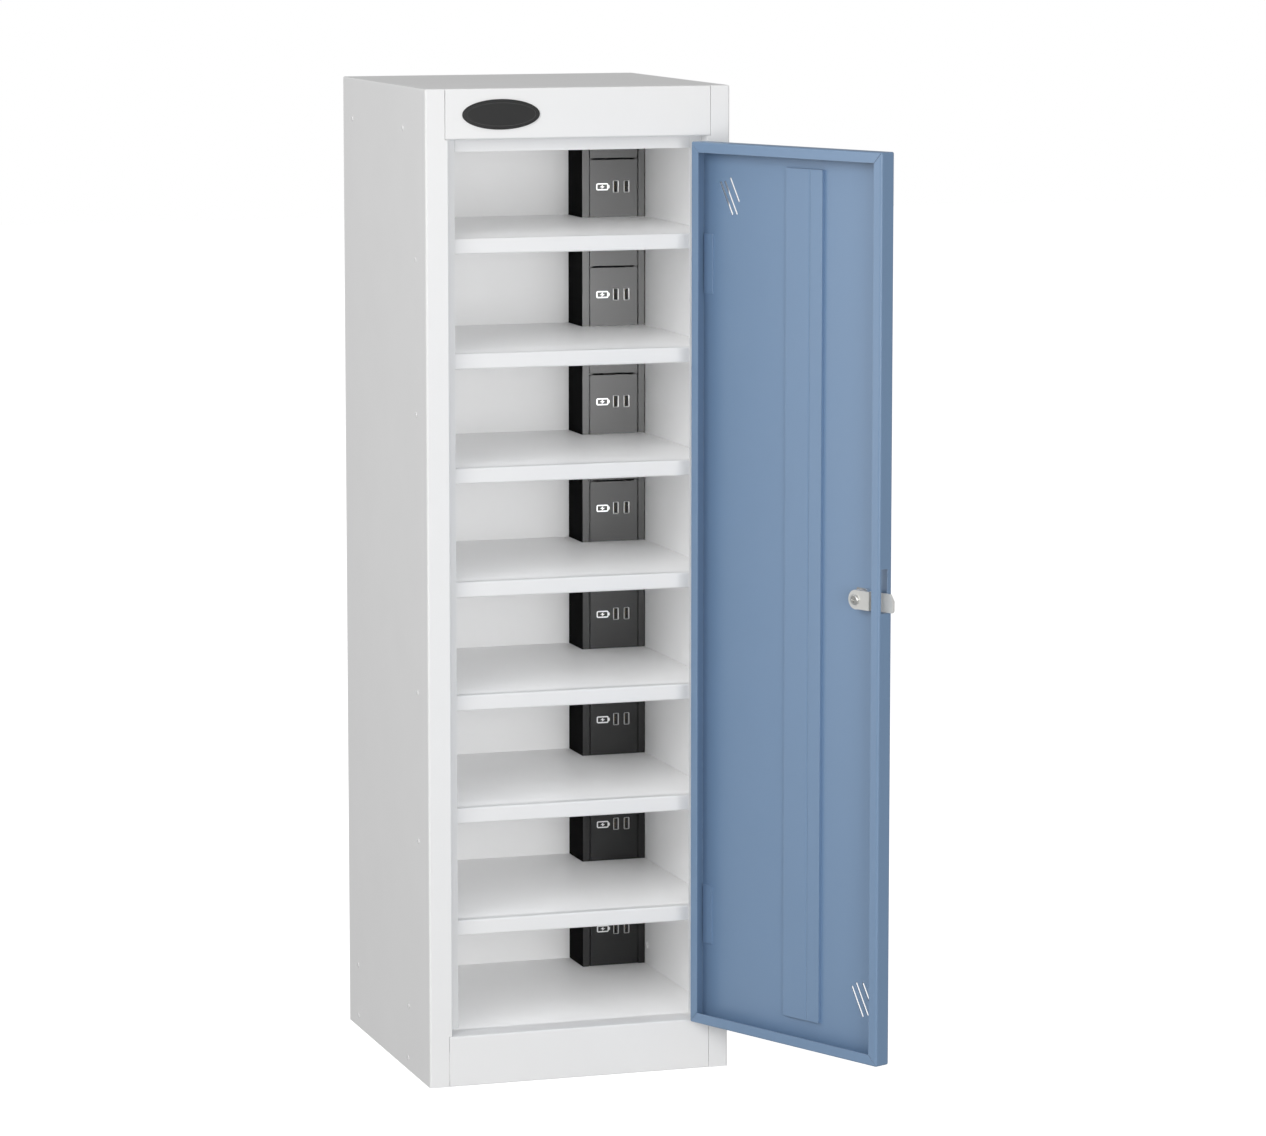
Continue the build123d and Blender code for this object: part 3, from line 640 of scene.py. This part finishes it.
class Wardrobe:
    """Makes each finish once, when it is first wanted, and puts it on nodes and pieces."""

    def __init__(self, finishes: dict[str, Finish]) -> None:
        """Remembers the finishes and which slot each node has."""
        self.finishes = finishes
        self.slots = {part["node"]: part["material_slot"] for part in frame["record"]["subparts"]}
        self.made: dict[str, bpy.types.Material] = {}

    def material(self, finish: str) -> bpy.types.Material:
        """The material of a finish, made when it is first wanted."""
        if finish not in self.made:
            self.made[finish] = self.finishes[finish].make()
        return self.made[finish]

    def dress(self, nodes: Iterable[str]) -> None:
        """Gives frame nodes the finish of their slots.

        Args:
            nodes: The nodes' names.
        """
        for name in nodes:
            mesh = frame["nodes"][name].data
            mesh.materials.clear()
            mesh.materials.append(self.material(self.slots[name]))
            LOG.info("dressed %s as %s", name, self.slots[name])

    def hang(self, piece: bpy.types.Object, finish: str, slot: str, body: str) -> bpy.types.Object:
        """Gives a new piece its finish and body.

        Args:
            piece: The new piece, in place.
            finish: The finish that it wears.
            slot: The record's slot that it belongs to, which is not used.
            body: The body that it rides on.

        Returns:
            The piece.
        """
        piece.data.materials.append(self.material(finish))
        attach(piece, body)
        LOG.info("made %s on %s with %d faces", piece.name, body, len(piece.data.polygons))
        return piece


# ---- outlines and meshes ----
def rounded_outline(width: float, height: float, radius: float, steps: int = 5) -> list[Point]:
    """A rounded rectangle about the origin.

    Args:
        width: Its whole width.
        height: Its whole height.
        radius: Its corner radius.
        steps: Points along each corner, less one.

    Returns:
        Its points, anticlockwise.
    """
    points = []
    middles = ((1, 1, 0), (-1, 1, 90), (-1, -1, 180), (1, -1, 270))
    for side, rise, start in middles:
        cx = side * (width / 2 - radius)
        cz = rise * (height / 2 - radius)
        for step in range(steps + 1):
            angle = math.radians(start + 90 * step / steps)
            points.append((cx + radius * math.cos(angle), cz + radius * math.sin(angle)))
    return points


def round_outline(radius: float, steps: int = 48) -> list[Point]:
    """A circle's points about the origin."""
    turn = 2 * math.pi / steps
    return [(radius * math.cos(turn * step), radius * math.sin(turn * step)) for step in range(steps)]


def cross_outline(arm: float, half_width: float, steps: int = 48) -> list[Point]:
    """A four-armed recess about the origin, with as many points as a circle.

    Args:
        arm: How far each arm reaches.
        half_width: Half an arm's width.
        steps: How many points it has.

    Returns:
        Its points, anticlockwise.
    """
    points = []
    for step in range(steps):
        angle = 2 * math.pi * step / steps
        narrow = min(abs(math.sin(angle)), abs(math.cos(angle)))
        reach = min(arm, half_width / max(narrow, 1e-6))
        points.append((reach * math.cos(angle), reach * math.sin(angle)))
    return points


class Form:
    """A mesh in the making, drawn in X and Z with Y as its depth."""

    def __init__(self) -> None:
        """Starts an empty mesh."""
        self.mesh = bmesh.new()

    def loft(self, sections: Sequence[tuple[Sequence[Point], float]], ring: bool, place: Matrix) -> None:
        """Joins outlines of the same number of points, one after the other.

        Args:
            sections: Each outline and its depth.
            ring: True joins the last to the first; False closes both ends with a face.
            place: Where the whole goes.
        """
        rows = []
        for outline, depth in sections:
            rows.append([self.mesh.verts.new(place @ Vector((x, depth, z))) for x, z in outline])
        pairs = list(zip(rows, rows[1:]))
        if ring:
            pairs.append((rows[-1], rows[0]))
        else:
            self.mesh.faces.new(rows[0])
            self.mesh.faces.new(rows[-1])
        for first, second in pairs:
            count = len(first)
            for index in range(count):
                after = (index + 1) % count
                self.mesh.faces.new((first[index], first[after], second[after], second[index]))

    def piece(self, name: str, smooth_angle: float = 35.0) -> bpy.types.Object:
        """Turns the form into an object.

        Args:
            name: The object's name.
            smooth_angle: Edges flatter than this, in degrees, are shaded smooth.

        Returns:
            The object, linked to the scene.
        """
        bmesh.ops.recalc_face_normals(self.mesh, faces=self.mesh.faces)
        limit = math.radians(smooth_angle)
        for face in self.mesh.faces:
            face.smooth = True
        for edge in self.mesh.edges:
            edge.smooth = edge.calc_face_angle(0.0) < limit
        data = bpy.data.meshes.new(name)
        self.mesh.to_mesh(data)
        self.mesh.free()
        return linked(name, data)


def reach(node: str, origin: Vector, axis: Vector) -> tuple[float, float]:
    """How far a node reaches along an axis.

    Args:
        node: The frame node's name.
        origin: Where the measure starts.
        axis: The direction, of length one.

    Returns:
        Its lowest and highest distance from the origin.
    """
    distances = [(vertex.co - origin).dot(axis) for vertex in frame["nodes"][node].data.vertices]
    return min(distances), max(distances)


def joint(name: str) -> dict:
    """The frame's joint of that name."""
    return next(item for item in frame["joints"] if item["name"] == name)


# ---- sub-assemblies ----
@dataclass
class Carcass:
    """The white sheet-metal case, its caps and its blank badge."""

    wardrobe: Wardrobe
    panels: tuple[str, ...] = (
        "left_side_panel", "right_side_panel", "back_panel", "top_panel", "fascia",
        "ceiling_panel", "floor_tray", "kickplate",
    )
    trims: tuple[str, ...] = ("side_caps", "nesting_plug", "badge")

    def build(self) -> None:
        """Dresses the case."""
        self.wardrobe.dress(self.panels + self.trims)


@dataclass
class ShelfStack:
    """The seven shelves."""

    wardrobe: Wardrobe
    count: int = 7

    def build(self) -> None:
        """Dresses each shelf."""
        self.wardrobe.dress(f"shelf_{number}" for number in range(1, self.count + 1))


@dataclass
class ChargingColumn:
    """The black column, with a printed mark, socket lips and contacts on each charger."""

    wardrobe: Wardrobe
    count: int = 8
    socket_width: float = 5.2 * MM
    lip_width: float = 0.45 * MM
    lip_ends: float = 0.25
    lip_rise: float = 0.30 * MM
    lip_depth: float = 1.2 * MM
    lip_seat: float = 0.3 * MM
    mouth_corner: float = 0.7 * MM
    wall: float = 0.5 * MM
    mark_width: float = 13.2 * MM
    mark_height: float = 7.4 * MM
    mark_line: float = 1.25 * MM
    mark_corner: float = 1.7 * MM
    mark_gap: float = 5.6 * MM
    nub_size: Point = (1.5 * MM, 3.2 * MM)
    nub_corner: float = 0.5 * MM
    nub_offset: float = 0.55 * MM
    ink_film: float = 0.06 * MM
    contact_width: float = 1.0 * MM
    contact_length: float = 7.5 * MM
    contact_rise: float = 0.12 * MM
    contact_inset: float = 0.4 * MM
    contact_toe: float = 0.5 * MM
    contact_rows: tuple[float, ...] = (-3.5 * MM, -1.0 * MM, 1.0 * MM, 3.5 * MM)

    def build(self) -> None:
        """Dresses the column and makes the small fittings of each charger."""
        self.wardrobe.dress(("tower_body", "tower_blank", "usb_tongues"))
        for number in range(1, self.count + 1):
            self.wardrobe.dress((f"charger_module_{number}", f"usb_shells_{number}"))
            low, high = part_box(f"usb_shells_{number}")
            middles = (low.x + self.socket_width / 2, high.x - self.socket_width / 2)
            centre_z = (low.z + high.z) / 2
            self.lips(number, middles, low.y, centre_z, high.z - low.z)
            self.contacts(number, middles, centre_z)
            self.mark(number, low.x, centre_z)

    def lips(self, number: int, middles: Sequence[float], mouth: float, z: float, height: float) -> None:
        """The rolled bright lips round one charger's two socket mouths.

        Args:
            number: The charger's number.
            middles: The X of each socket's middle.
            mouth: The Y of the shells' mouths.
            z: The height of the sockets' middle.
            height: The sockets' height.
        """
        form = Form()
        for x in middles:
            place = Matrix.Translation((x, mouth, z))
            steps = (
                (self.lip_width, self.lip_seat),
                (self.lip_width, -self.lip_rise * 0.4),
                (self.lip_width * 0.7, -self.lip_rise * 0.9),
                (self.lip_width * 0.35, -self.lip_rise),
                (0.0, -self.lip_rise * 0.75),
                (-self.wall * 0.7, 0.0),
                (-self.wall, self.lip_depth),
                (-self.wall * 0.5, self.lip_depth),
                (0.0, self.lip_seat),
            )
            sections = []
            for spread, depth in steps:
                outline = rounded_outline(
                    self.socket_width + 2 * spread,
                    height + 2 * spread * self.lip_ends,
                    self.mouth_corner + spread,
                )
                sections.append((outline, depth))
            form.loft(sections, True, place)
        piece = form.piece(f"socket_lips_{number}", 60.0)
        self.wardrobe.hang(piece, "lip_nickel", "contact_metal", "carcass")

    def contacts(self, number: int, middles: Sequence[float], z: float) -> None:
        """The four gilt contacts on each of one charger's tongues.

        Args:
            number: The charger's number.
            middles: The X of each socket's middle.
            z: The height of the sockets' middle.
        """
        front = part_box("usb_tongues")[0].y
        form = Form()
        for x in middles:
            for row in self.contact_rows:
                place = Matrix.Translation((x, front + self.contact_inset, z + row))
                crown = rounded_outline(2 * self.contact_rise, self.contact_width, self.contact_rise * 0.9, 3)
                toe = rounded_outline(self.contact_rise, self.contact_width * 0.6, self.contact_rise * 0.4, 3)
                sections = [
                    (toe, 0.0),
                    (crown, self.contact_toe),
                    (crown, self.contact_length - self.contact_toe),
                    (toe, self.contact_length),
                ]
                form.loft(sections, False, place @ Matrix.Translation((self.contact_rise, 0, 0)))
        piece = form.piece(f"socket_contacts_{number}")
        self.wardrobe.hang(piece, "gold", "contact_metal", "carcass")

    def mark(self, number: int, socket_edge: float, z: float) -> None:
        """The printed mark left of one charger's sockets: a battery with a bolt in it.

        Args:
            number: The charger's number.
            socket_edge: The X of the sockets' left edge.
            z: The height of the sockets' middle.
        """
        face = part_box(f"charger_module_{number}")[0].y
        centre = Matrix.Translation((socket_edge - self.mark_gap - self.mark_width / 2, face, z))
        form = Form()
        outer = rounded_outline(self.mark_width, self.mark_height, self.mark_corner)
        inner = rounded_outline(
            self.mark_width - 2 * self.mark_line,
            self.mark_height - 2 * self.mark_line,
            self.mark_corner - self.mark_line,
        )
        film = self.ink_film
        form.loft([(outer, 0.0), (outer, -film), (inner, -film), (inner, 0.0)], True, centre)
        nub = rounded_outline(*self.nub_size, self.nub_corner)
        nub_place = centre @ Matrix.Translation((self.mark_width / 2 + self.nub_offset, 0, 0))
        form.loft([(nub, 0.0), (nub, -film)], False, nub_place)
        bolt = [(0.9, 2.3), (-2.6, -0.35), (-0.35, -0.35), (-0.9, -2.3), (2.6, 0.35), (0.35, 0.35)]
        bolt = [(x * MM, z * MM) for x, z in bolt]
        form.loft([(bolt, 0.0), (bolt, -film)], False, centre)
        piece = form.piece(f"charge_mark_{number}")
        self.wardrobe.hang(piece, "ink", "cap_white", "carcass")


@dataclass
class PowerPack:
    """The supply above the ceiling and the inlet in the back, with cross-headed screws."""

    wardrobe: Wardrobe
    screw_radius: float = 3.0 * MM
    shank_radius: float = 1.5 * MM
    head_rise: float = 1.6 * MM
    recess_arm: float = 1.75 * MM
    recess_half: float = 0.42 * MM
    recess_depth: float = 1.0 * MM

    def build(self) -> None:
        """Dresses the supply and inlet and makes the inlet's two screws."""
        self.wardrobe.dress((
            "power_supply", "supply_screws", "power_leads", "mains_inlet", "inlet_pins", "inlet_screws",
        ))
        low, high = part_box("inlet_screws")
        z = (low.z + high.z) / 2
        seat = high.y - self.head_rise
        form = Form()
        for x in (low.x + self.screw_radius, high.x - self.screw_radius):
            self.screw(form, Matrix.Translation((x, seat, z)), low.y - seat)
        piece = form.piece("inlet_cross_screws", 40.0)
        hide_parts("inlet_screws")
        self.wardrobe.hang(piece, "fastener_steel", "fastener_steel", "carcass")

    def screw(self, form: Form, place: Matrix, tip: float) -> None:
        """One pan-headed screw with a cross recess.

        Args:
            form: The form that it is added to.
            place: Where the underside of its head goes.
            tip: The depth of the shank's end, below nought.
        """
        radius = self.screw_radius
        head = self.head_rise
        floor = head - self.recess_depth
        form.loft([
            (round_outline(self.shank_radius * 0.6), tip),
            (round_outline(self.shank_radius), tip + 0.6 * MM),
            (round_outline(self.shank_radius), 0.0),
            (round_outline(radius), 0.0),
            (round_outline(radius), head * 0.35),
            (round_outline(radius * 0.93), head * 0.65),
            (round_outline(radius * 0.78), head * 0.88),
            (round_outline(radius * 0.62), head * 0.97),
            (cross_outline(self.recess_arm, self.recess_half), head),
            (cross_outline(self.recess_arm * 0.75, self.recess_half * 0.75), floor),
        ], False, place)


@dataclass
class Door:
    """The blue door with its stiffener and hinge leaves."""

    wardrobe: Wardrobe

    def build(self) -> None:
        """Dresses the door and the hinges on both sides of the joint."""
        self.wardrobe.dress(("door_panel", "door_stiffener"))
        for level in ("lower", "upper"):
            parts = ("hinge_fixed_leaf", "hinge_moving_leaf", "hinge_pin")
            self.wardrobe.dress(f"{level}_{part}" for part in parts)


@dataclass
class Lock:
    """The cam lock, with the thread on its barrel."""

    wardrobe: Wardrobe
    barrel_radius: float = 9.3 * MM
    thread_height: float = 0.35 * MM
    pitch: float = 1.0 * MM

    def build(self) -> None:
        """Dresses the lock and cuts the thread that shows between its nut and its cam."""
        self.wardrobe.dress(("lock_housing", "lock_nut", "lock_plug", "lock_cam", "cam_screw"))
        turn = joint("lock_turn")
        origin = Vector(turn["pos_m"])
        axis = Vector(turn["axis"])
        start = reach("lock_nut", origin, axis)[1]
        end = reach("lock_housing", origin, axis)[1]
        square = axis.to_track_quat("Y", "Z").to_matrix().to_4x4()
        ridges = int((end - start) / self.pitch)
        inside = round_outline(self.barrel_radius * 0.97, 64)
        root = round_outline(self.barrel_radius * 1.005, 64)
        crest = round_outline(self.barrel_radius + self.thread_height, 64)
        sections = [(inside, start)]
        for ridge in range(ridges):
            depth = start + ridge * self.pitch
            sections.append((root, depth + 0.15 * self.pitch))
            sections.append((crest, depth + 0.45 * self.pitch))
            sections.append((crest, depth + 0.55 * self.pitch))
            sections.append((root, depth + 0.85 * self.pitch))
        sections.append((inside, start + ridges * self.pitch))
        form = Form()
        form.loft(sections, True, Matrix.Translation(origin) @ square)
        self.wardrobe.hang(form.piece("barrel_thread"), "lock_chrome", "lock_chrome", "door")


# ---- studio ----
@dataclass(frozen=True)
class Panel:
    """One soft rectangular light, aimed at a height on the locker's axis.

    lights_matt is False where the light shows in reflections alone, and only names the nodes
    that a light is kept to.
    """

    name: str
    azimuth: float
    distance: float
    height: float
    aim: float
    width: float
    tall: float
    power: float
    lights_matt: bool = True
    only: tuple[str, ...] = ()


@dataclass
class Studio:
    """Camera, soft lights, pale floor and white surround."""

    azimuth: float = -17.83
    elevation: float = 7.33
    eye: tuple[float, float, float] = (-1.45348, -4.85343, 1.2131)
    lens: float = 141.16
    shift: float = -0.0474
    floor_size: float = 24.0
    surround_radius: float = 28.0
    panels: tuple[Panel, ...] = (
        Panel("front", -14.0, 3.8, 0.8, 0.5, 3.4, 2.0, 18.0),
        Panel("key", 1.0, 4.2, 0.8, 0.5, 1.1, 1.1, 33.0),
        Panel("quarter", -44.0, 3.6, 2.1, 0.6, 2.2, 2.0, 50.0),
        Panel("left", -110.0, 3.4, 2.6, 1.1, 3.0, 2.0, 18.0),
        Panel("sheen", -112.0, 3.4, 0.9, 0.6, 3.0, 2.4, 38.0, lights_matt=False, only=BLUE_NODES),
        Panel("above", -20.0, 0.6, 3.4, 0.9, 2.4, 2.4, 5.0),
    )
    ambient: float = 0.38
    bounces: int = 18
    inner_width: float = 0.262
    inner_setback: float = 0.011
    inner_power: float = 0.43
    column_light_size: float = 0.25
    column_reach: float = 1.7
    column_drop: float = 0.25
    column_spread: float = 27.0
    column_power: float = 0.95

    def build(self) -> None:
        """Makes everything that isn't part of the locker, but for the column's own light."""
        cycles = bpy.context.scene.cycles
        cycles.max_bounces = self.bounces
        cycles.diffuse_bounces = self.bounces
        self.camera()
        self.world()
        self.floor()
        self.surround()
        for panel in self.panels:
            self.light(panel)
        self.inner_light()

    def camera(self) -> None:
        """Makes the scene's camera."""
        data = bpy.data.cameras.new("camera")
        data.lens = self.lens
        data.shift_y = self.shift
        data.clip_end = 100.0
        thing = linked("camera", data)
        thing.location = self.eye
        back = self.direction(self.azimuth, self.elevation)
        thing.rotation_mode = "QUATERNION"
        thing.rotation_quaternion = (-back).to_track_quat("-Z", "Y")
        bpy.context.scene.camera = thing

    @staticmethod
    def direction(azimuth: float, elevation: float) -> Vector:
        """The way from the locker to something at an azimuth and elevation, in degrees."""
        turn = math.radians(azimuth)
        rise = math.radians(elevation)
        return Vector((
            math.sin(turn) * math.cos(rise), -math.cos(turn) * math.cos(rise), math.sin(rise)
        ))

    def world(self) -> None:
        """Makes the dim, even light from all round."""
        world = bpy.data.worlds.new("studio")
        bpy.context.scene.world = world
        world.use_nodes = True
        background = world.node_tree.nodes["Background"]
        background.inputs["Color"].default_value = grey(1.0)
        background.inputs["Strength"].default_value = self.ambient

    @staticmethod
    def lamp(name: str, width: float, tall: float, power: float) -> bpy.types.Object:
        """A rectangular lamp, not yet in its place.

        Args:
            name: Its name.
            width: Its width.
            tall: Its height.
            power: Its power in watts.

        Returns:
            The lamp.
        """
        data = bpy.data.lights.new(name, "AREA")
        data.shape = "RECTANGLE"
        data.size = width
        data.size_y = tall
        data.energy = power
        return linked(name, data)

    def light(self, panel: Panel) -> None:
        """Makes one soft light.

        Args:
            panel: Where it stands, what it faces, its size and its power in watts.
        """
        thing = self.lamp(panel.name, panel.width, panel.tall, panel.power)
        stand = self.direction(panel.azimuth, 0.0) * panel.distance
        thing.location = stand + Vector((0, 0, panel.height))
        thing.visible_diffuse = panel.lights_matt
        if panel.only:
            painted = [frame["nodes"][name] for name in panel.only]
            thing.light_linking.receiver_collection = self.apart(panel.name, painted)
        away = Vector((0, 0, panel.aim)) - thing.location
        thing.rotation_mode = "QUATERNION"
        thing.rotation_quaternion = away.to_track_quat("-Z", "Y")

    @staticmethod
    def apart(name: str, things: Sequence[bpy.types.Object]) -> bpy.types.Collection:
        """Puts things in a collection of their own, for a light that reaches only them.

        Args:
            name: The collection's name.
            things: What goes in it.

        Returns:
            The collection.
        """
        collection = bpy.data.collections.new(name)
        for thing in things:
            collection.objects.link(thing)
        return collection

    def inner_light(self) -> None:
        """Makes the soft light just behind the shelves' lips, which opens up the compartments."""
        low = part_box("floor_tray")[1].z
        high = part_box("ceiling_panel")[0].z
        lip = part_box("shelf_1")[0].y
        thing = self.lamp("inner", self.inner_width, high - low, self.inner_power)
        thing.location = (0.0, lip + self.inner_setback, (low + high) / 2)
        thing.rotation_mode = "QUATERNION"
        thing.rotation_quaternion = Vector((0, 1, 0)).to_track_quat("-Z", "Z")
        thing.visible_camera = False
        thing.visible_glossy = False

    def column_light(self) -> None:
        """Makes the light that grades the black column from its top down, and lights nothing else."""
        modules = [name for name in frame["nodes"] if name.startswith("charger_module")]
        blacks = [frame["nodes"][name] for name in modules + ["tower_blank", "tower_body"]]
        fittings = ("socket_lips", "charge_mark")
        brights = [thing for thing in bpy.data.objects if thing.name.startswith(fittings)]
        column = self.apart("column_front", blacks + brights)
        low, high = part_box("tower_body")
        data = bpy.data.lights.new("column", "AREA")
        data.shape = "SQUARE"
        data.size = self.column_light_size
        data.spread = math.radians(self.column_spread)
        data.energy = self.column_power
        thing = linked("column", data)
        thing.location = ((low.x + high.x) / 2, low.y - self.column_reach, high.z - self.column_drop)
        thing.rotation_mode = "QUATERNION"
        thing.rotation_quaternion = Vector((0, 1, 0)).to_track_quat("-Z", "Z")
        thing.light_linking.receiver_collection = column
        thing.light_linking.blocker_collection = column

    def sheet(self, name: str, glow: float, level: float) -> bpy.types.Material:
        """A plain pale stage material.

        Args:
            name: Its name.
            glow: How much light of its own it shows.
            level: How pale it is.

        Returns:
            The material.
        """
        return Graph(name).surface({
            "Base Color": grey(level),
            "Roughness": 0.9,
            "Specular IOR Level": 0.0,
            "Emission Color": grey(1.0),
            "Emission Strength": glow,
        })

    def floor(self) -> None:
        """Makes the pale floor."""
        form = Form()
        half = self.floor_size / 2
        corners = ((-half, -half), (half, -half), (half, half), (-half, half))
        form.mesh.faces.new([form.mesh.verts.new((x, y, 0)) for x, y in corners])
        thing = form.piece("floor")
        thing.data.materials.append(self.sheet("floor_white", 0.9, 0.5))
        thing.visible_diffuse = False
        thing.visible_glossy = False

    def surround(self) -> None:
        """Makes the white surround, which only the camera sees."""
        form = Form()
        bmesh.ops.create_icosphere(form.mesh, subdivisions=4, radius=self.surround_radius)
        thing = form.piece("surround")
        thing.data.materials.append(self.sheet("surround_white", 1.0, 0.0))
        thing.visible_diffuse = False
        thing.visible_glossy = False
        thing.visible_transmission = False
        thing.visible_shadow = False


def main() -> None:
    """Builds every sub-assembly in order."""
    logging.basicConfig(level=logging.INFO, format="%(name)s: %(message)s")
    for thing in list(bpy.data.objects):
        if thing.type in {"CAMERA", "LIGHT"} or thing.name == "Cube":
            bpy.data.objects.remove(thing)
    bpy.context.scene.view_settings.view_transform = "Standard"
    wardrobe = Wardrobe(locker_finishes())
    studio = Studio()
    studio.build()
    assemblies: tuple[Callable, ...] = (Carcass, ShelfStack, ChargingColumn, PowerPack, Door, Lock)
    for assembly in assemblies:
        assembly(wardrobe).build()
        LOG.info("%s done", assembly.__name__)
    studio.column_light()


if __name__ == "__main__":
    main()
